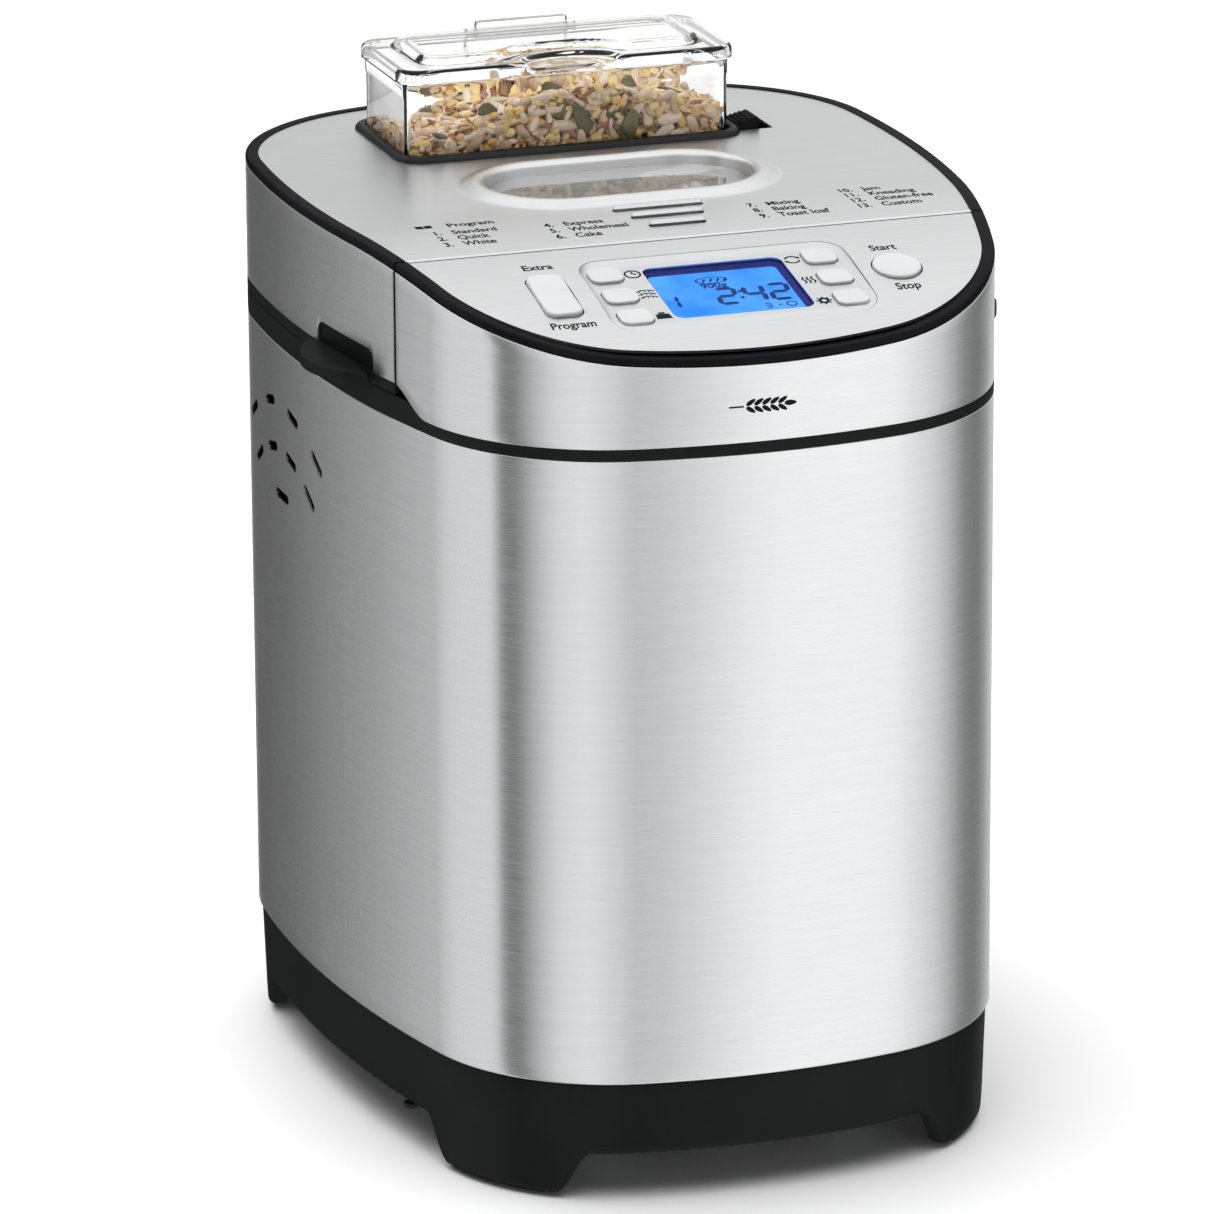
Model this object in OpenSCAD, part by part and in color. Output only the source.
// Bread machine with a clear ingredient dispenser in its lid.
// Millimetres. X to the right seen from the front, Y to the back, Z up.
// The origin is on the floor below the middle of the plan outline.

/* [Outline] */
// Widest width of the body
body_w = 240; // [239:0.5:241]
// Depth of the body from front to back
body_d = 305.3; // [304.8:0.5:305.8]
// Radius of the bowed front
front_r = 251.5; // [250:0.5:253]
// Radius of the bowed back
back_r = 250; // [248:0.5:252]
// Radius of the bowed sides
side_r = 523; // [520:1:526]
// Radius of the two front corners
front_corner_r = 72.5; // [71:0.5:74]
// Radius of the two back corners
back_corner_r = 75; // [74:0.5:76]
// Place of the widest point, behind the middle
widest_y = 34; // [33:0.5:35]

/* [Heights] */
// Top of the black base, where the steel wrapper starts
base_top = 44.4; // [43.5:0.1:45]
// Top of the steel wrapper
shell_top = 272; // [271.8:0.1:272.2]
// Bottom edge of the front steel band
head_bottom = 276; // [275.8:0.1:276.2]
// Top of the black collar under the lid
collar_top = 280.6; // [280.5:0.05:280.7]
// Bottom edge of the steel band round the lid
lid_band_bottom = 285; // [284.9:0.1:285.2]
// Top of the steel bands where the top is flat
band_top = 327.6; // [327.4:0.1:327.8]
// Radius with which the top falls away to the front
crown_r = 300; // [298:0.5:302]
// Place where the fall of the top begins
crown_y = -35; // [-36:0.5:-34]

/* [Skins] */
// Thickness of the sheet steel skins
sheet = 0.8; // [0.7:0.05:0.85]
// Wall of the moulded frames
wall = 2.4; // [2.2:0.1:2.5]
// Width of the black rim round the top
rim_w = 4.7; // [4.5:0.1:5]
// Front face of the lid
lid_front = -69.9; // [-70.1:0.1:-69.7]
// Back face of the control head
head_back = -70.9; // [-71.1:0.1:-70.7]

/* [Lid] */
// Half length of the viewing window opening
window_half = 49.5; // [48:0.5:50]
// End radius of the viewing window opening
window_r = 26; // [25:0.5:26.5]
// Middle of the viewing window, front to back
window_y = 9; // [8:0.5:10]
// Height of the embossed ring round the window
ring_h = 2.3; // [2:0.1:2.5]

/* [Dispenser] */
// Outside width of the clear box
box_w = 124; // [122:0.5:124]
// Outside depth of the clear box
box_d = 58; // [57:0.5:58]
// Middle of the box, left to right
box_x = -1.2; // [-2:0.1:0]
// Middle of the box, front to back
box_y = 89; // [88.5:0.5:89.5]
// Top of the clear box walls
box_top = 358; // [357:0.5:359]
// Wall of the clear box
box_wall = 2.2; // [2:0.1:2.4]
// Top of the seeds in the box
seed_top = 349; // [340:1:350]

/* [Baking space] */
// Inside width of the baking chamber
chamber_w = 162; // [160:1:163]
// Inside depth of the baking chamber
chamber_d = 176; // [174:1:177]
// Middle of the chamber and of the drive shaft
chamber_y = 30; // [29:0.5:31]
// Width of the bread pan
pan_w = 126; // [122:1:127]
// Depth of the bread pan
pan_d = 144; // [140:1:146]
// Underside of the bread pan
pan_z = 92; // [91.5:0.5:92.5]
// Rim of the bread pan
pan_top = 236; // [225:1:237]

/* [Drive] */
// Radius of the large pulley
big_pulley_r = 70; // [66:1:71]
// Radius of the motor pulley
small_pulley_r = 10; // [9:0.5:11]
// Place of the motor shaft
motor_y = -104; // [-105:0.5:-103]
// Radius of the motor can
motor_r = 37; // [34:0.5:37]

/* [Hidden] */
$fn = 96;
slit = 0.05;            // play between fitted parts of one body
gap = 0.4;              // clearance between parts that move
run = 0.05;             // radial running clearance of shafts and pins
far = 400;              // larger than the whole machine

// Plan outline: eight arcs, each tangent to the next
front_c = [0, front_r - body_d / 2];
back_c = [0, body_d / 2 - back_r];
side_c = [body_w / 2 - side_r, widest_y];

// Centre of the corner arc of radius r that touches an end arc and a side arc from inside
function corner(end_c, end_r, r, toward) =
    let (ra = end_r - r, rb = side_r - r, d = norm(side_c - end_c),
         a = (ra * ra - rb * rb + d * d) / (2 * d),
         h = sqrt(ra * ra - a * a),
         u = (side_c - end_c) / d)
    end_c + a * u + toward * h * [u[1], -u[0]];
front_corner_c = corner(front_c, front_r, front_corner_r, -1);
back_corner_c = corner(back_c, back_r, back_corner_r, 1);

function bearing_of(v) = atan2(v[1], v[0]);
front_join = bearing_of(front_corner_c - front_c);
side_join_f = bearing_of(front_corner_c - side_c);
side_join_b = bearing_of(back_corner_c - side_c);
back_join = bearing_of(back_corner_c - back_c);
function mirrored(c) = [-c[0], c[1]];

// Each arc: centre, radius, start angle, sweep
ARCS = [
    [front_c, front_r, -180 - front_join, 2 * front_join + 180],
    [front_corner_c, front_corner_r, front_join, side_join_f - front_join],
    [side_c, side_r, side_join_f, side_join_b - side_join_f],
    [back_corner_c, back_corner_r, side_join_b, back_join - side_join_b],
    [back_c, back_r, back_join, 180 - 2 * back_join],
    [mirrored(back_corner_c), back_corner_r, 180 - back_join, back_join - side_join_b],
    [mirrored(side_c), side_r, 180 - side_join_b, side_join_b - side_join_f],
    [mirrored(front_corner_c), front_corner_r, 180 - side_join_f, side_join_f - front_join]
];

// Points along the outline, moved inwards by inset; chords stay within flatness of the arc
flatness = 0.03;
function outline_points(inset) = [
    for (arc = ARCS) let (n = ceil(arc[3] / (2 * acos(1 - flatness / arc[1]))))
        for (i = [0:n - 1]) let (a = arc[2] + arc[3] * i / n)
            arc[0] + (arc[1] - inset) * [cos(a), sin(a)]
];

// Solid slab and upright wall with the outline as their edge
module slab(z0, z1, inset = 0) { prism(outline_points(inset), z0, z1); }
module ring(outer, inner, z0, z1) {
    difference() {
        slab(z0, z1, outer);
        slab(z0 - 1, z1 + 1, inner);
    }
}

module box(x0, x1, y0, y1, z0, z1) {
    translate([x0, y0, z0]) cube([x1 - x0, y1 - y0, z1 - z0]);
}

// Rounded rectangle and stadium as point lists
function rounded(w, d, r, n = 6) = [
    for (q = [0:3]) for (i = [0:n])
        let (a = 90 * q + 90 * i / n, sx = (q == 0 || q == 3) ? 1 : -1, sy = q < 2 ? 1 : -1)
            [sx * (w / 2 - r) + r * cos(a), sy * (d / 2 - r) + r * sin(a)]
];
function stadium(half, r, n = 24) = [
    for (s = [0, 1]) for (i = [0:n]) let (a = -90 + 180 * s + 180 * i / n)
        [(s == 0 ? 1 : -1) * (half - r) + r * cos(a), r * sin(a)]
];
module prism(points, z0, z1) { translate([0, 0, z0]) linear_extrude(z1 - z0) polygon(points); }
module tube(w, d, r, t, z0, z1, n = 6) {
    difference() {
        prism(rounded(w, d, r, n), z0, z1);
        prism(rounded(w - 2 * t, d - 2 * t, r - t, n), z0 - 1, z1 + 1);
    }
}
module rod_x(x0, x1, y, z, r) { translate([x0, y, z]) rotate([0, 90, 0]) cylinder(r = r, h = x1 - x0); }
module rod_y(x, y0, y1, z, r) { translate([x, y0, z]) rotate([-90, 0, 0]) cylinder(r = r, h = y1 - y0); }
module shaft(y, r, z0, z1) { translate([0, y, z0]) cylinder(r = r, h = z1 - z0); }

// Side view of the top, lifted by t: an arc that runs into a flat stretch at crown_y
crown_z = band_top - crown_r;
crown_sweep = 25;
crown_steps = 20;
function crown_line(t) = concat(
    [for (i = [0:crown_steps]) let (a = crown_sweep * (1 - i / crown_steps))
        [crown_y - (crown_r + t) * sin(a), crown_z + (crown_r + t) * cos(a)]],
    [[far, band_top + t]]);
function reversed(list) = [for (i = [len(list) - 1:-1:0]) list[i]];
module along_x(points) {
    rotate([90, 0, 90]) translate([0, 0, -far / 2]) linear_extrude(far) polygon(points);
}
// What lies between two lifts of the top, and what lies below one
module crown_layer(t0, t1) {
    intersection() {
        children();
        along_x(concat(crown_line(t1), reversed(crown_line(t0))));
    }
}
module under_crown(t) {
    intersection() {
        children();
        along_x(concat([[-far, 0], [-far, crown_line(t)[0][1]]], crown_line(t), [[far, 0]]));
    }
}
function crown_height(y, t = 0) = crown_z + sqrt(pow(crown_r + t, 2) - pow(y - crown_y, 2));

// Heights of the top layers above the steel bands
plate_low = 1.4;
plate_top = 2.6;
rim_top = 3;
module lid_half() { box(-far, far, lid_front, far, 0, far); }
module head_half() { box(-far, far, -far, head_back, 0, far); }

// Bottom edge of the front band: level at the front, then a soft S up to the lid band
s_start = -91;
s_end = -68;
function s_height(y) = head_bottom + (lid_band_bottom - head_bottom) * (1 - cos(180 * y)) / 2;
s_points = [for (i = [0:12]) [s_start + (s_end - s_start) * i / 12, s_height(i / 12)]];
module below_s_curve() { along_x(concat([[-far, head_bottom]], s_points, [[s_end, 100], [-far, 100]])); }
module above_s_curve() {
    along_x(concat([[-far, head_bottom]], s_points, [[s_end, 320], [-far, 320]]));
}

// ---- Base ----
foot_top = 3;
foot_at = [92, 112];    // middle of each foot block
foot_block = [44, 52];
foot_block_r = 12;
pad_at = [88, 112];     // middle of each rubber pad
arch_z = 17;
foot_front_x = 76;      // inner end of a front or back foot
foot_side_y = 92.7;     // inner end of a foot on the side
arch_slope = 10.8;      // run of the sloped end of an arch
slot_pitch = 12;        // pitch of the air slots in the bottom plate
module at_corners(at) { for (x = [-at[0], at[0]], y = [-at[1], at[1]]) translate([x, y, 0]) children(); }
module arch_x(y0, y1) {
    translate([0, y1, 0]) rotate([90, 0, 0]) linear_extrude(y1 - y0)
        polygon([[-foot_front_x, -1], [foot_front_x, -1], [foot_front_x - arch_slope, arch_z],
                 [arch_slope - foot_front_x, arch_z]]);
}
module arch_y(x0, x1) {
    translate([x0, 0, 0]) rotate([90, 0, 90]) linear_extrude(x1 - x0)
        polygon([[-foot_side_y, -1], [foot_side_y, -1], [foot_side_y - arch_slope, arch_z],
                 [arch_slope - foot_side_y, arch_z]]);
}
module base_frame() {
    color("#1c1c1e") difference() {
        union() {
            ring(1.2, 4, 20, base_top);
            ring(2, 8, foot_top, 22);
            // Ledges for the wrapper and for the bottom plate
            ring(2.6, 10, base_top - 3, base_top - 0.02);
            ring(3, 12, 17.7, 21);
            // Solid corner blocks that carry the feet
            intersection() {
                slab(foot_top, 17.5, 3);
                at_corners(foot_at) prism(rounded(foot_block[0], foot_block[1], foot_block_r), foot_top, 17.5);
            }
        }
        arch_x(-far, -100);
        arch_x(100, far);
        arch_y(-far, -90);
        arch_y(90, far);
        // Notch for the cord inlet at the back
        box(41.5, 60.5, 120, 160, 23.5, 42.6);
    }
}
pad_r = 9;
pad_chamfer = 0.6;
module rubber_feet() {
    color("#b9bbbc") at_corners(pad_at) {
        cylinder(r1 = pad_r - pad_chamfer, r2 = pad_r, h = pad_chamfer);
        translate([0, 0, pad_chamfer]) cylinder(r = pad_r, h = foot_top - pad_chamfer);
    }
}
module bottom_plate() {
    color("#8d9194") difference() {
        slab(16.1, 17.6, 9);
        at_corners(foot_at) prism(rounded(foot_block[0] + 2, foot_block[1] + 2, foot_block_r), 10, 20);
        for (i = [-4:4]) {
            translate([i * slot_pitch, -95, 0]) prism(rounded(5, 42, 2.4), 10, 20);
            translate([i * slot_pitch, 112, 0]) prism(rounded(5, 34, 2.4), 10, 20);
        }
    }
    // Screws that hold the plate to the base
    color("#b0b4b7") for (x = [-1, 1], y = [-128, -64, 64, 128])
        translate([x * (abs(y) > 100 ? 60 : 105), y, 14.6]) cylinder(r = 3, h = 1.45);
}

// ---- Wrapper with its fan of air slots ----
vent_c = [37, 175];     // centre of the fan: y, z
VENTS = [
    [75, -32, 12.5], [75, -11, 12.5], [75, 11, 12.5], [75, 32, 12.5],
    [58, -33, 12.5], [58, -11.5, 12.5], [58, 11.5, 12.5], [58, 33, 12.5],
    [41, 0, 16]
];
module vent_fan(x0, x1) {
    translate([x0, vent_c[0], vent_c[1]]) rotate([90, 0, 90])
        for (v = VENTS) rotate([0, 0, v[1]]) translate([0, v[0], 0])
            linear_extrude(x1 - x0) polygon(stadium(v[2] / 2, 1.75, 8));
}
module body_shell() {
    color("#c4c6c8") difference() {
        ring(0, sheet, base_top, shell_top);
        vent_fan(-130, -100);
        vent_fan(100, 130);
    }
}

// ---- Collar, deck and hinge housing ----
deck_z = 274.5;
deck_t = 3;
hinge_y = 144;
hinge_z = 283;
barrel_r = 8.6;
barrel_half = 67;
arm_x = 29;             // middle of each lid arm
arm_w = 10;
module barrel_space(grow, half) { rod_x(-half, half, hinge_y, hinge_z, barrel_r + grow); }
module body_collar() {
    color("#1b1b1d") difference() {
        union() {
            ring(0, wall + 1, shell_top + slit, collar_top);
            ring(sheet + slit, wall + 0.7, 266, shell_top + 2);
            slab(deck_z - deck_t, deck_z, wall + 0.8);
            intersection() {
                barrel_space(0, barrel_half);
                slab(deck_z - 1, hinge_z + 20, 0);
            }
        }
        // The front is cut back to the edge of the steel band
        translate([0, 0, -slit]) above_s_curve();
        // Opening of the baking chamber
        translate([0, chamber_y, 0]) prism(rounded(chamber_w + 2, chamber_d + 2, 17), 260, 290);
        // Slots for the two lid arms
        for (x = [-arm_x, arm_x])
            box(x - arm_w / 2 - gap, x + arm_w / 2 + gap, 134, 160, deck_z, 300);
        rod_x(-pin_end, pin_end, hinge_y, hinge_z, pin_r);
    }
}
pin_r = 2;
pin_end = 42;
module hinge_pins() {
    color("#9a9ea1") for (s = [-1, 1])
        translate([s * arm_x, 0, 0]) rod_x(-12, 12, hinge_y, hinge_z, pin_r);
}
module cord_inlet() {
    color("#222224") difference() {
        union() {
            rod_y(51, 134, 151, 33, 6.8);
            rod_y(51, 142.5, 146.5, 33, 9.3);
        }
        rod_y(51, 130, 160, 33, 3.6);
    }
}

// ---- Baking chamber ----
chamber_floor = 62;
module baking_chamber() {
    color("#a9acae") difference() {
        translate([0, chamber_y, 0]) {
            tube(chamber_w, chamber_d, 16, sheet, chamber_floor, deck_z);
            prism(rounded(chamber_w, chamber_d, 16), chamber_floor, chamber_floor + sheet);
            tube(chamber_w + 16, chamber_d + 12, 20, 9, deck_z, deck_z + 0.8);
        }
        shaft(chamber_y, 13.6, 50, 80);
        for (x = [-element_exit_x, element_exit_x]) rod_y(x, -70, -50, element_z, 5.2);
        rod_x(70, 90, 60, 150, 3.6);
    }
}
module chamber_legs() {
    color("#8a8d90") for (x = [-1, 1], y = [-45, 98])
        translate([x * 66, y, 0]) {
            box(-8, 8, -1, 1, 17.6, chamber_floor);
            box(-8, 8, -1, 12, 17.6, 19.6);
            box(-8, 8, -1, 12, chamber_floor - 2, chamber_floor);
        }
}
element_z = 80;
element_r = 3.3;
element_half_x = 71;
element_front = -47;
element_back = 107;
element_bend = 15;
element_exit_x = 34;
exit_bend = 7;
module elbow(x, y, a, bend = element_bend) {
    translate([x, y, element_z]) rotate([0, 0, a])
        rotate_extrude(angle = 90) translate([bend, 0]) circle(r = element_r, $fn = 32);
}
module heating_element() {
    hx = element_half_x;
    b = element_bend;
    ex = element_exit_x;
    color("#4c4a48") {
        for (x = [-hx, hx]) rod_y(x, element_front + b, element_back - b, element_z, element_r);
        rod_x(b - hx, hx - b, element_back, element_z, element_r);
        rod_x(b - hx, -ex - exit_bend, element_front, element_z, element_r);
        rod_x(ex + exit_bend, hx - b, element_front, element_z, element_r);
        elbow(hx - b, element_back - b, 0);
        elbow(b - hx, element_back - b, 90);
        elbow(b - hx, element_front + b, 180);
        elbow(hx - b, element_front + b, 270);
        // The two ends turn forward and leave through the chamber wall
        elbow(-ex - exit_bend, element_front - exit_bend, 0, exit_bend);
        elbow(ex + exit_bend, element_front - exit_bend, 90, exit_bend);
        for (x = [-ex, ex]) rod_y(x, -72, element_front - exit_bend, element_z, element_r);
    }
}
module element_mounts() {
    // Ceramic bushes in the wall and clips under the loop
    color("#e6e2d8") for (x = [-element_exit_x, element_exit_x]) difference() {
        union() {
            rod_y(x, -64, -54.5, element_z, 5.1);
            rod_y(x, -64, -59, element_z, 7.5);
        }
        rod_y(x, -80, -40, element_z, element_r + slit);
    }
    color("#9b9ea1") for (x = [-element_half_x, element_half_x], y = [0, 60])
        difference() {
            box(x - 5, x + 5, y - 4, y + 4, chamber_floor + sheet, element_z + 1.5);
            rod_y(x, y - 10, y + 10, element_z, element_r + slit);
            box(x - 3.2, x + 3.2, y - 10, y + 10, element_z, element_z + 10);
            box(x - 3.5, x + 3.5, y - 10, y + 10, chamber_floor + sheet + 1.2, element_z - 5);
        }
}
module temperature_sensor() {
    color("#8f9295") {
        rod_x(66.5, 94, 60, 150, 3.5);
        rod_x(81.9, 84.5, 60, 150, 7);
    }
}
module thermal_fuse() {
    color("#c9b070") rod_y(-60, -66.9, -58.9, 190, 4.5);
    color("#a3a6a8") box(-72, -48, -59.9, -58.1, 185, 195);
}
foot_r = 38;
module pan_clips() {
    color("#b5b8ba") for (s = [-1, 1]) difference() {
        union() {
            box(s > 0 ? foot_r + 1 : -foot_r - 3, s > 0 ? foot_r + 3 : -foot_r - 1,
                chamber_y - 9, chamber_y + 9, chamber_floor + sheet, 80);
            box(s > 0 ? foot_r + 1 : -foot_r - 15, s > 0 ? foot_r + 15 : -foot_r - 1,
                chamber_y - 9, chamber_y + 9, chamber_floor + sheet, chamber_floor + sheet + 1.5);
        }
        translate([s * (foot_r + 10), chamber_y, 50]) cylinder(r = 2, h = 30);
    }
}

// ---- Bread pan ----
pan_wall = 1.5;
pan_r = 14;             // upright corners of the pan
pan_rim = 2;            // how far the rolled rim stands out
bail_y = 30;
bail_z = 224;
bail_rest = 13;         // the resting bail leans up by this angle
bail_len = 71;
wire_r = 2;
ear_in = pan_w / 2;
module bread_pan() {
    color("#3a3a3c") {
        difference() {
            translate([0, chamber_y, 0]) {
                tube(pan_w, pan_d, pan_r, pan_wall, pan_z, pan_top, 4);
                prism(rounded(pan_w, pan_d, pan_r, 4), pan_z, pan_z + pan_wall);
                // Rolled rim
                tube(pan_w + 2 * pan_rim, pan_d + 2 * pan_rim, pan_r + pan_rim,
                     pan_rim + pan_wall, pan_top - 3, pan_top, 4);
            }
            shaft(chamber_y, 9, pan_z - 5, pan_z + 5);
            for (s = [-1, 1]) rod_x(s > 0 ? 50 : -80, s > 0 ? 80 : -50, bail_y, bail_z, wire_r + 0.15);
        }
        // Ears that hold the bail
        for (s = [-1, 1]) difference() {
            rod_x(s > 0 ? ear_in - 0.2 : -ear_in - 2, s > 0 ? ear_in + 2 : 0.2 - ear_in,
                  bail_y, bail_z, 7);
            rod_x(-90, 90, bail_y, bail_z, wire_r + 0.15);
        }
    }
}
// Round foot that sits between the clips
module pan_foot() {
    color("#3a3a3c") difference() {
        shaft(chamber_y, foot_r, chamber_floor + sheet + gap, pan_z - slit);
        shaft(chamber_y, foot_r - pan_wall, 50, pan_z + 1);
    }
}
pan_shaft_r = 4;
module pan_bearing() {
    color("#b8a268") difference() {
        union() {
            shaft(chamber_y, 13, pan_z - 7, pan_z - slit);
            shaft(chamber_y, 8.9, pan_z - 2, pan_z + pan_wall + 3);
        }
        shaft(chamber_y, pan_shaft_r + run, 50, 150);
    }
}
lug_top = 84;
module pan_shaft() {
    color("#b4b7ba") {
        shaft(chamber_y, pan_shaft_r, lug_top - 6, 112);
        box(-3.5, 3.5, chamber_y - 17, chamber_y + 17, 77, lug_top);
    }
}
blade_len = 42;
module kneading_paddle() {
    z0 = pan_z + pan_wall + 4;
    color("#4a4a4d") difference() {
        union() {
            shaft(chamber_y, 9, z0, 117);
            // One broad blade that narrows to its tip
            translate([0, chamber_y, z0]) rotate([90, 0, 0]) translate([0, 0, -3])
                linear_extrude(6) polygon([[0, 0], [blade_len, 0], [blade_len + 3, 5],
                    [blade_len - 4, 17], [20, 19.5], [0, 19.5]]);
            translate([-14, chamber_y - 3, z0]) cube([14, 6, 8]);
        }
        shaft(chamber_y, pan_shaft_r + slit, 50, 112 + slit);
    }
}
module pan_bail() {
    arm_x0 = ear_in + 4.5;
    color("#77797c") translate([0, bail_y, bail_z]) rotate([-bail_rest, 0, 0]) {
        for (s = [-1, 1]) {
            rod_y(s * arm_x0, 8 - bail_len, 0, 0, wire_r);
            translate([s * arm_x0, 0, 0]) sphere(r = wire_r, $fn = 32);
            rod_x(s > 0 ? ear_in - 4 : -arm_x0, s > 0 ? arm_x0 : 4 - ear_in, 0, 0, wire_r);
        }
        translate([arm_x0 - 8, 8 - bail_len, 0]) rotate([0, 0, 270])
            rotate_extrude(angle = 90) translate([8, 0]) circle(r = wire_r, $fn = 32);
        translate([8 - arm_x0, 8 - bail_len, 0]) rotate([0, 0, 180])
            rotate_extrude(angle = 90) translate([8, 0]) circle(r = wire_r, $fn = 32);
        rod_x(8 - arm_x0, arm_x0 - 8, -bail_len, 0, wire_r);
    }
}

// ---- Drive ----
drive_r = 5;
pulley_z = 26;
pulley_h = 10;
module drive_coupling() {
    color("#a7aaad") {
        difference() {
            union() {
                shaft(chamber_y, 20, 71, 74);
                shaft(chamber_y, 8.5, 71, 76);
            }
            shaft(chamber_y, drive_r, 60, 76.5);
        }
        for (s = [-1, 1]) translate([s * 12.5, chamber_y, 0]) box(-4, 4, -4.5, 4.5, 73, lug_top);
    }
}
module drive_shaft() { color("#c9ccce") shaft(chamber_y, drive_r, 20, 76); }
module drive_bearing() {
    color("#8b8e91") difference() {
        union() {
            shaft(chamber_y, 13.5, 42, 70);
            shaft(chamber_y, 26, chamber_floor - 3.2, chamber_floor - slit);
        }
        shaft(chamber_y, drive_r + run, 30, 90);
        for (a = [45:90:315]) translate([0, chamber_y, 0]) rotate([0, 0, a])
            translate([20, 0, 50]) cylinder(r = 2, h = 20);
    }
}
module large_pulley() {
    z = pulley_z;
    color("#d9d6cc") difference() {
        union() {
            translate([0, chamber_y, 0]) rotate_extrude($fn = 180)
                polygon([[big_pulley_r - 5, z], [big_pulley_r + 1.5, z], [big_pulley_r, z + 1],
                         [big_pulley_r, z + pulley_h - 1], [big_pulley_r + 1.5, z + pulley_h],
                         [big_pulley_r - 5, z + pulley_h]]);
            shaft(chamber_y, big_pulley_r - 3, z + 3, z + 6);
            shaft(chamber_y, 12, z - 2, z + 14);
        }
        shaft(chamber_y, drive_r, 0, 80);
        for (a = [0:60:300]) translate([0, chamber_y, 0]) rotate([0, 0, a])
            translate([40, 0, z - 5]) cylinder(r = 14, h = 20);
    }
}
// Loop round both pulleys: tangent lines joined by two arcs
function belt_points(grow, n = 40) =
    let (lean = asin((big_pulley_r - small_pulley_r) / (chamber_y - motor_y)))
    concat([for (i = [0:n]) let (a = -lean + (180 + 2 * lean) * i / n)
                [0, chamber_y] + (big_pulley_r + grow) * [cos(a), sin(a)]],
           [for (i = [0:n]) let (a = 180 + lean + (180 - 2 * lean) * i / n)
                [0, motor_y] + (small_pulley_r + grow) * [cos(a), sin(a)]]);
module drive_belt() {
    color("#202022") difference() {
        prism(belt_points(2.4), pulley_z + 1.8, pulley_z + pulley_h - 1.8);
        prism(belt_points(gap), 0, 100);
    }
}
motor_shaft_r = 4;
motor_z = 48.1;
motor_h = 74;
module motor_can() {
    z1 = motor_z + motor_h;
    color("#9ea2a5") difference() {
        union() {
            shaft(motor_y, motor_r, motor_z, z1);
            shaft(motor_y, 11, motor_z - 1.9, z1 + 5);
        }
        shaft(motor_y, motor_r - 11, motor_z + 6, z1 - 6);
        shaft(motor_y, motor_shaft_r + run, 40, z1 + 10);
        for (a = [30:60:330]) translate([0, motor_y, 0]) rotate([0, 0, a])
            translate([motor_r - 14, 0, z1 - 8]) cylinder(r = 3.5, h = 20);
    }
}
module motor_shaft() {
    color("#b9bcbf") {
        shaft(motor_y, motor_shaft_r, 22, 131);
        shaft(motor_y, motor_r - 11.6, motor_z + 8, motor_z + motor_h - 8);
    }
}
module small_pulley() {
    z = pulley_z;
    color("#cfccc2") difference() {
        union() {
            shaft(motor_y, small_pulley_r, z - 2, z + pulley_h + 2);
            shaft(motor_y, small_pulley_r + 1.5, z - 2, z + 1);
            shaft(motor_y, small_pulley_r + 1.5, z + pulley_h - 1, z + pulley_h + 2);
        }
        shaft(motor_y, motor_shaft_r, 0, 100);
    }
}
module motor_bracket() {
    color("#85898c") difference() {
        union() {
            box(-52, 52, -138, -68, 46, 48);
            for (x = [-52, 50]) {
                box(x, x + 2, -130, -92, 17.6, 48);
                box(x < 0 ? x : x - 10, x < 0 ? x + 12 : x + 2, -130, -92, 17.6, 19.6);
            }
        }
        shaft(motor_y, 11.2, 40, 60);
        for (x = [-46, 46], y = [-132, -74]) translate([x, y, 40]) cylinder(r = 2.2, h = 20);
    }
}
module power_board() {
    // Stands upright on the right of the motor
    color("#2f6b46") box(58, 59.6, -118, -66, 60, 150);
    color("#2b2b2d") box(59.6, 76, -90, -70, 70, 92);
    color("#c8a13a") translate([59.6, -105, 80]) rotate([0, 90, 0]) cylinder(r = 7, h = 24);
    color("#3a4a7a") translate([59.6, -105, 100]) rotate([0, 90, 0]) cylinder(r = 7, h = 24);
    color("#dedcd4") box(59.6, 74, -90, -72, 100, 116);
    color("#d8d4c4") box(59.6, 72, -110, -70, 132, 144);
    color("#85898c") for (y = [-114, -74]) box(56, 58, y, y + 8, 17.6, 70);
}

// ---- Control head ----
panel_lean = 11.19;     // rise of the recessed panel to the back
panel_y = -108.4;
panel_z = 319.45;
panel_half_x = 48.7;
panel_len = 49.8;        // front to back, level
panel_rim = 2.5;        // width of the sloped sides
module on_panel() { translate([0, panel_y, panel_z]) rotate([panel_lean, 0, 0]) children(); }
// Frame on the crowned top plate at (x, y)
function crown_lean(y) = asin((crown_y - y) / (crown_r + plate_top));
module on_crown(x, y) {
    translate([x, y, crown_height(y, plate_top)]) rotate([crown_lean(y), 0, 0]) children();
}
KEY_X = 39.5;
KEY_V = 16.7;           // pitch of the keys up the panel
key_size = [12, 11];
start_at = [62.6, -108];
start_r = 8.7;
rocker_at = [-63, -107];
rocker_size = [13.5, 29];

head_skin = 3.5;        // inset of the walls inside the control head
module control_housing() {
    color("#1d1d1f") {
        // Wall behind the steel band, cut off under the top plate
        crown_cut() {
            difference() {
                ring(sheet + slit, head_skin + 0.3, head_bottom, 340);
                below_s_curve();
            }
            intersection() {
                slab(head_bottom, 340, head_skin);
                union() {
                    box(-far, far, head_back - wall, head_back, 0, far);
                    box(-far, far, -far, head_back, 0, head_bottom + 2.4);
                }
            }
        }
        // Posts for the control board
        for (x = [-70, 70], y = [-122, -90])
            translate([x, y, head_bottom + 2]) cylinder(r = 3.5, h = 24);
    }
}
module crown_cut() {
    intersection() {
        under_crown(0) union() children();
        box(-far, far, -far, head_back, 0, far);
    }
}
module control_band() {
    color("#c4c6c8") difference() {
        crown_cut() ring(0, sheet, head_bottom, 340);
        below_s_curve();
    }
}
module rim_blank() { ring(0, rim_w, 290, 340); }
module plate_blank() { slab(290, 340, rim_w + slit); }
module control_rim() {
    color("#18181a") intersection() {
        crown_layer(slit, rim_top) rim_blank();
        head_half();
    }
}
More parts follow.
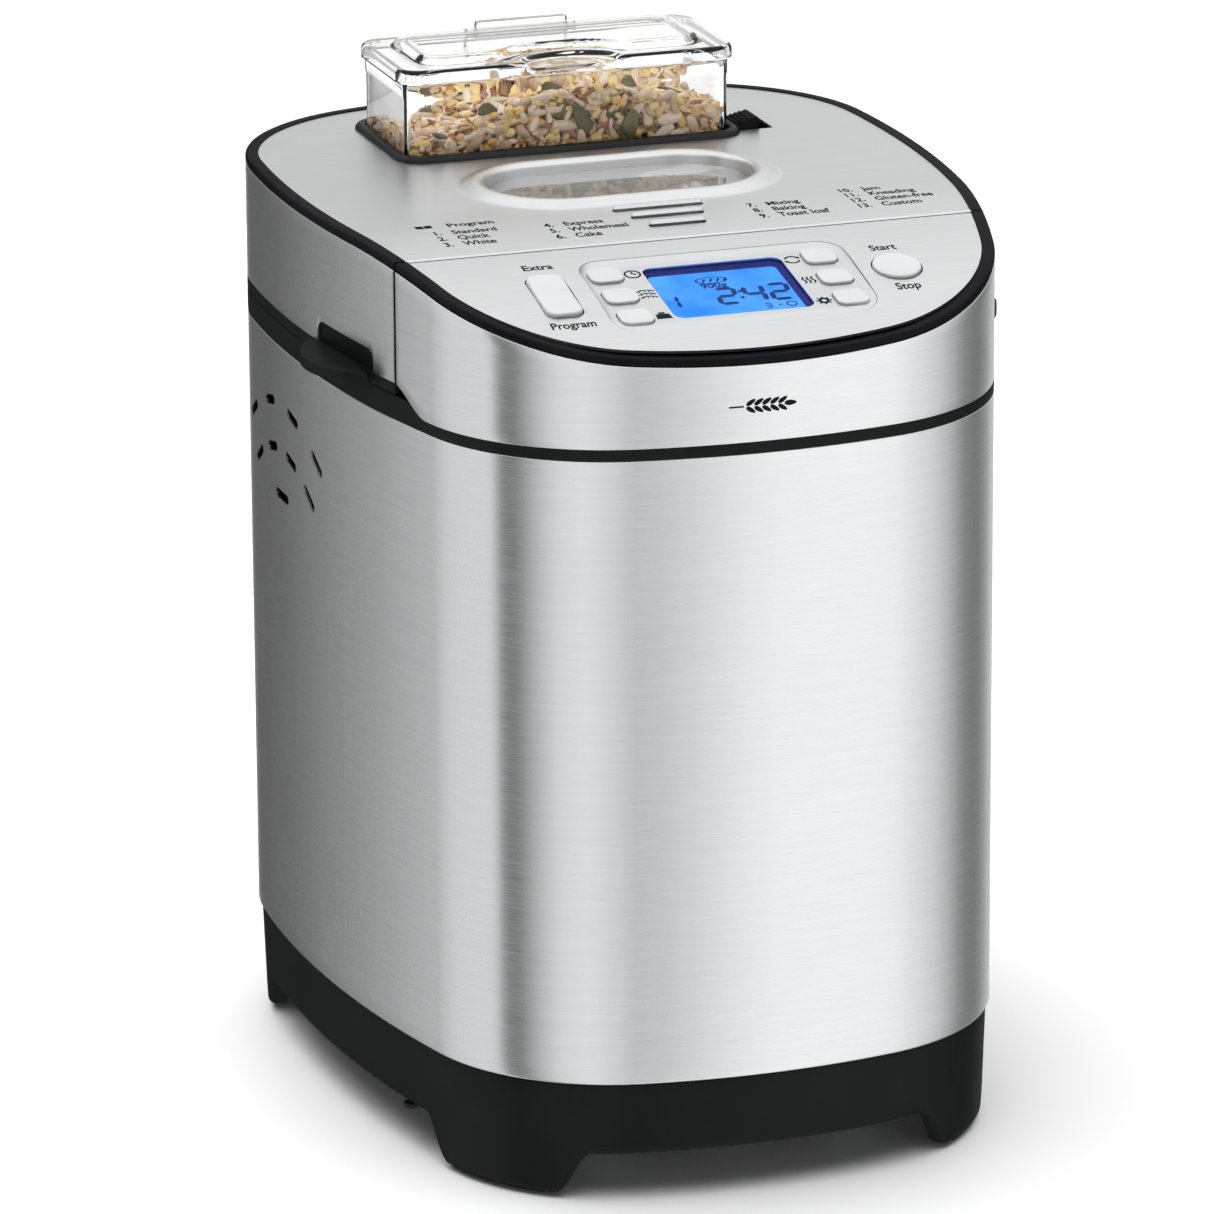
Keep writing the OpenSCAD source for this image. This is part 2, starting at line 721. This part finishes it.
module control_plate() {
    color("#c9cbcc") difference() {
        crown_layer(plate_low, plate_top) intersection() { plate_blank(); head_half(); }
        translate([0, panel_y, 0]) prism(rounded(2 * panel_half_x + 0.6, panel_len + 0.6, 9.8), 290, 350);
        translate([start_at[0], start_at[1], 290]) cylinder(r = start_r + 0.5, h = 60);
        translate([rocker_at[0], rocker_at[1], 290])
            linear_extrude(60) polygon(rounded(rocker_size[0] + 1, rocker_size[1] + 0.6, 4.4));
    }
}
module control_bezel() {
    floor_t = 2;
    color("#b4b7b9") difference() {
        crown_layer(-5.5, plate_top - 0.1)
            translate([0, panel_y, 0]) prism(rounded(2 * panel_half_x, panel_len, 9.5), 290, 350);
        // The dish above the panel floor, with sloped sides
        on_panel() for (step = [0:3]) let (in = panel_rim * (3 - step) / 3)
            prism(rounded(2 * (panel_half_x - in), panel_len + 1 - 2 * in, 6.5 + step), 0.7 * step, 30);
        // Room under the floor
        on_panel() prism(rounded(2 * panel_half_x - 3, panel_len - 2, 6), -20, -floor_t);
        on_panel() prism(rounded(51.2, 40.4, 4), -10, 10);
        for (x = [-KEY_X, KEY_X], v = [-1:1]) on_panel()
            translate([x, v * KEY_V, 0]) prism(rounded(key_size[0] + 0.7, key_size[1] + 0.7, 3.8), -10, 10);
    }
}
module lcd_window() {
    color([0.35, 0.6, 0.95, 0.6]) on_panel() prism(rounded(51, 40.2, 3.9), -1.6, -0.4);
}
module lcd_module() {
    color("#3c86ea") on_panel() prism(rounded(54, 43, 3), -4.6, -2.1);
    color("#cfd2d4") on_panel() prism(rounded(57, 44, 3), -6.8, -4.65);
}
board_w = -9.4;         // top of the control board below the panel
key_stem = 3.4;         // height of the key switches
module control_board() {
    color("#2f6b46") on_panel() translate([0, 0, board_w - 1.6]) prism(rounded(150, 46, 3), 0, 1.6);
    color("#d8d8d4") on_panel() {
        for (x = [-KEY_X, KEY_X], v = [-1:1])
            translate([x, v * KEY_V, board_w]) box(-3, 3, -3, 3, 0, key_stem);
        translate([start_at[0], 1.5, board_w]) box(-3, 3, -3, 3, 0, 2.4);
        for (v = [-9, 9]) translate([rocker_at[0], v, board_w]) box(-3, 3, -3, 3, 0, 2.4);
    }
}
key_rise = 1;           // how far a key stands above the panel
module key(x, v) {
    color("#e4e6e7") on_panel() translate([x, v * KEY_V, 0]) {
        prism(rounded(key_size[0], key_size[1], 3.5), -2.6, key_rise);
        prism(rounded(key_size[0] + 1.8, 7, 1.5), -3.4, -2.5);
        translate([0, 0, -4.9]) cylinder(r = 2, h = 2);
    }
}
module button_timer() { key(-KEY_X, 1); }
module button_loaf() { key(-KEY_X, 0); }
module button_weight() { key(-KEY_X, -1); }
module button_select() { key(KEY_X, 1); }
module button_crust() { key(KEY_X, 0); }
module button_settings() { key(KEY_X, -1); }
module start_button() {
    color("#e4e6e7") on_crown(start_at[0], start_at[1]) {
        translate([0, 0, -4]) cylinder(r = start_r, h = 5);
        translate([0, 0, -4.6]) cylinder(r = start_r + 1.6, h = 1.2);
        translate([0, 0, -7]) cylinder(r = 2.5, h = 3);
    }
}
module program_rocker() {
    color("#e4e6e7") on_crown(rocker_at[0], rocker_at[1]) {
        prism(rounded(rocker_size[0], rocker_size[1], 4), -2.6, 1);
        difference() {
            prism(rounded(rocker_size[0] - 3, 12, 3), -6, -2.5);
            rod_x(-20, 20, 0, -4.4, 1.2);
        }
    }
}

// ---- Lid ----
notch_front = -54;
notch_back = -6;
notch_top = 293;
tab_y = -26;
tab_reach = 129.5;
tab_chord = 55;
tab_out = 13;
tab_r = (tab_chord * tab_chord / 4 + tab_out * tab_out) / (2 * tab_out);
frame_deck = 287;
module hinge_notch() {
    barrel_space(gap, barrel_half + 1);
    box(-barrel_half - 1, barrel_half + 1, hinge_y, 170, 260, hinge_z + 9.2);
    box(-barrel_half - 1, barrel_half + 1, hinge_y - barrel_r - gap, 170, 260, hinge_z);
}
module lid_frame() {
    color("#1b1b1d") difference() {
        union() {
            intersection() {
                union() {
                    // Outer wall with the lip that shows under the steel band
                    ring(0, sheet + wall + 0.3, 281, lid_band_bottom);
                    slab(frame_deck, frame_deck + 2.4, sheet + wall - 0.2);
                    under_crown(0) union() {
                        ring(sheet + slit, sheet + wall, 283, 340);
                        intersection() {
                            slab(281, 340, sheet + wall - 0.2);
                            box(-far, far, lid_front, lid_front + wall, 0, far);
                        }
                    }
                }
                lid_half();
            }
            // Lift tabs at both sides
            for (s = [-1, 1]) intersection() {
                translate([s * (tab_reach - tab_r), tab_y, 281]) cylinder(r = tab_r, h = 4);
                box(s > 0 ? 115 : -140, s > 0 ? 140 : -115, tab_y - 40, tab_y + 40, 280, 290);
            }
            // Shaft that carries the window glasses
            translate([0, window_y, 0]) prism(stadium(window_half + 4, window_r + 4), frame_deck, 327.4);
        }
        translate([0, window_y, 0]) prism(stadium(window_half + 1, window_r + 1), 270, 340);
        // Passage of the dispenser box
        translate([box_x, 0, 0]) box(-box_w / 2 - 0.6, box_w / 2 + 0.6, 59.4, 118.6, 270, 340);
        hinge_notch();
    }
    // Two arms that turn on the hinge pins
    color("#1b1b1d") for (x = [-arm_x, arm_x]) difference() {
        union() {
            rod_x(x - arm_w / 2, x + arm_w / 2, hinge_y, hinge_z, 7.6);
            box(x - arm_w / 2, x + arm_w / 2, 131.5, hinge_y, hinge_z, frame_deck + 2.4);
        }
        rod_x(-far, far, hinge_y, hinge_z, pin_r + run);
    }
}
module lid_band() {
    color("#c4c6c8") difference() {
        intersection() {
            under_crown(0) ring(0, sheet, lid_band_bottom, 340);
            lid_half();
        }
        // Finger notches above the tabs
        for (x = [-140, 100]) translate([x, 0, 0]) rotate([90, 0, 90]) linear_extrude(40)
            polygon([[notch_front, 280], [notch_back, 280], [notch_back, 289], [notch_back - 1.2, 291.6],
                     [notch_back - 4, notch_top], [notch_front + 4, notch_top],
                     [notch_front + 1.2, 291.6], [notch_front, 289]]);
        hinge_notch();
    }
}
module lid_rim() {
    color("#18181a") crown_layer(slit, rim_top) intersection() { rim_blank(); lid_half(); }
}
slot_rows = [[-33.4, 17], [-44.1, 13.7], [-55, 10.7]];
// Raised ring round the window, in steps that follow its sloped sides
module window_ring() {
    for (step = [0:3]) translate([0, window_y, 0])
        prism(stadium(window_half + 9 - 1.3 * step, window_r + 9 - 1.3 * step, 20),
              band_top + plate_low, band_top + plate_top + ring_h * (step + 1) / 4);
}
module lid_plate() {
    color("#c9cbcc") {
        difference() {
            union() {
                crown_layer(plate_low, plate_top) intersection() { plate_blank(); lid_half(); }
                window_ring();
            }
            translate([0, window_y, 0]) prism(stadium(window_half, window_r), 300, 350);
            translate([box_x, 88.2, 0]) prism(rounded(box_w + 3, 62, 9), 300, 350);
            // Slot of the catch
            box(box_x + box_w / 2 - 3, 79.5, 64, 86, 300, 350);
            for (row = slot_rows) translate([0, row[0], 0]) prism(stadium(row[1], 1.8, 10), 300, 350);
        }
    }
}
liner_z = 278.5;
module lid_liner() {
    color("#a9acae") difference() {
        union() {
            translate([0, 33, 0]) prism(rounded(190, 196, 24), liner_z, liner_z + 0.8);
            // Rim that lifts the liner to the lid frame
            translate([0, 33, 0]) tube(190, 196, 24, 0.8, liner_z, frame_deck);
        }
        translate([0, window_y, 0]) prism(stadium(window_half - 4, window_r - 4), 270, 290);
        translate([box_x, 0, 0]) box(-flap_w / 2 - 4.5, flap_w / 2 + 4.5, 59, 104, 270, 283);
    }
}
// Outer and inner pane
module window_glass() {
    pane = stadium(window_half + 0.8, window_r + 0.8);
    color([0.75, 0.8, 0.82, 0.35]) translate([0, window_y, 0]) {
        prism(pane, band_top - 1, band_top + plate_low - slit);
        prism(pane, liner_z + 0.9, liner_z + 3.9);
    }
}

// ---- Dispenser ----
flap_w = 112;
flap_y0 = 61;
flap_hinge = [100, 281];
gasket_h = 2.5;
module at_box() { translate([box_x, box_y, 0]) children(); }
module dispenser_gasket() {
    color("#141415") at_box() translate([0, -0.8, 0]) {
        difference() {
            prism(rounded(132.4, 67.4, 10), band_top + plate_top + slit, band_top + plate_top + gasket_h);
            prism(rounded(box_w + 0.2, box_d + 1.8, 6), 300, 350);
        }
    }
}
module dispenser_box() {
    low = 290;
    color([0.85, 0.88, 0.9, 0.35]) {
        difference() {
            at_box() prism(rounded(box_w, box_d, 7), low, box_top);
            at_box() prism(rounded(box_w - 2 * box_wall, box_d - 2 * box_wall, 5), low + 2, 400);
            // Mouth over the flap
            translate([box_x, 0, 0]) box(-flap_w / 2 + 2, flap_w / 2 - 2, 64, 98, 280, 300);
        }
        // Chute below the box
        translate([box_x, 0, 0]) difference() {
            box(-flap_w / 2, flap_w / 2, 62, 100, 283.2, low);
            box(-flap_w / 2 + 2, flap_w / 2 - 2, 64, 98, 270, 300);
        }
        // Lugs that the flap turns in
        for (s = [-1, 1]) difference() {
            translate([box_x + s * (flap_w / 2 + 1.9), 0, 0]) {
                rod_x(-1.5, 1.5, flap_hinge[0], flap_hinge[1], 2.8);
                box(-1.5, 1.5, flap_hinge[0] - 2.8, flap_hinge[0] + 2.8, flap_hinge[1], low + 1);
            }
            rod_x(-80, 80, flap_hinge[0], flap_hinge[1], stub_r + run);
        }
        // Lugs for the lid's hinge
        for (x = [-22, 17]) difference() {
            union() {
                rod_x(x, x + 3, lid_hinge_at[0], lid_hinge_at[1], 2.6);
                box(x, x + 3, 117.5, lid_hinge_at[0] + 2.6, lid_hinge_at[1] - 8, box_top - 0.1);
            }
            rod_x(-40, 40, lid_hinge_at[0], lid_hinge_at[1], stub_r + run);
        }
    }
}
lid_hinge_at = [121.4, 359.4];
stub_r = 1.2;           // moulded hinge pins
module dispenser_lid() {
    z0 = box_top + 0.3;
    zf = z0 + 5;
    dish = [box_x + 0.5, 60];
    color([0.88, 0.9, 0.92, 0.4]) {
        difference() {
            union() {
                // Flange round the box and the raised middle
                at_box() translate([0, -0.5, 0]) prism(rounded(box_w + 5, box_d, 9), z0, zf);
                at_box() prism(rounded(108, 42, 9), zf, 366);
            }
            at_box() prism(rounded(104, 38, 7), z0 - 1, 364);
            // Finger dish in the front edge
            translate([dish[0], dish[1] - 4, zf - 2.6]) scale([1.8, 1, 1]) cylinder(r = 17, h = 20);
        }
        // Hinge barrel with moulded stub pins
        rod_x(-18.6, 16.6, lid_hinge_at[0], lid_hinge_at[1], 2.4);
        box(-18.6, 16.6, 117, lid_hinge_at[0], lid_hinge_at[1], lid_hinge_at[1] + 2.4);
        rod_x(-21.8, 19.8, lid_hinge_at[0], lid_hinge_at[1], stub_r);
    }
}
module dispenser_flap() {
    color("#8f9396") {
        translate([box_x, 0, 0]) {
            box(-flap_w / 2, flap_w / 2, flap_y0, 101, 278.6, 280.2);
            // Seal bead under the chute
            for (x = [-flap_w / 2, flap_w / 2 - 2.5]) box(x, x + 2.5, 62, 96, 280.1, 282.6);
            rod_x(-flap_w / 2, flap_w / 2, flap_hinge[0], flap_hinge[1], 1.9);
            rod_x(-flap_w / 2 - 2.8, flap_w / 2 + 2.8, flap_hinge[0], flap_hinge[1], stub_r);
        }
    }
}
catch_y = [66, 78];
module dispenser_catch() {
    z = band_top + plate_top;
    color("#161617") {
        box(66, 73.5, catch_y[0], catch_y[1], z - 1.4, z + 9);
        box(62.4, 66.5, catch_y[0] + 2, catch_y[1] - 2, z + 5.4, z + 8);
        box(66, 79, catch_y[0] + 1, catch_y[1] - 1, z - 4, z - 1.4);
    }
}
module release_solenoid() {
    // Pulls the bolt that holds the flap shut
    color("#7c4a2a") difference() {
        box(64, 88, 64, 82, 290, 306);
        rod_x(60, 84, 73, 298, 2.6);
    }
    color("#8b8e91") difference() {
        box(63, 89, 63, 83, 289.6, 290);
        rod_x(60, 84, 73, 298, 2.6);
    }
}
module solenoid_plunger() { color("#b9bcbf") rod_x(61.8, 78, 73, 298, 2.5); }
module seeds() {
    color("#cdb68a") at_box()
        prism(rounded(box_w - 2 * box_wall - 0.6, box_d - 2 * box_wall - 0.6, 5), 292.3, seed_top);
}

base_frame();
rubber_feet();
bottom_plate();
body_shell();
body_collar();
cord_inlet();
baking_chamber();
chamber_legs();
heating_element();
element_mounts();
pan_clips();
temperature_sensor();
thermal_fuse();
bread_pan();
pan_foot();
pan_bearing();
pan_shaft();
kneading_paddle();
pan_bail();
drive_coupling();
drive_shaft();
drive_bearing();
large_pulley();
drive_belt();
motor_can();
motor_shaft();
small_pulley();
motor_bracket();
power_board();
control_housing();
control_band();
control_rim();
control_plate();
control_bezel();
lcd_window();
lcd_module();
control_board();
button_timer();
button_loaf();
button_weight();
button_select();
button_crust();
button_settings();
start_button();
program_rocker();
lid_frame();
lid_band();
lid_rim();
lid_plate();
lid_liner();
window_glass();
hinge_pins();
dispenser_gasket();
dispenser_box();
dispenser_lid();
dispenser_flap();
dispenser_catch();
release_solenoid();
solenoid_plunger();
seeds();
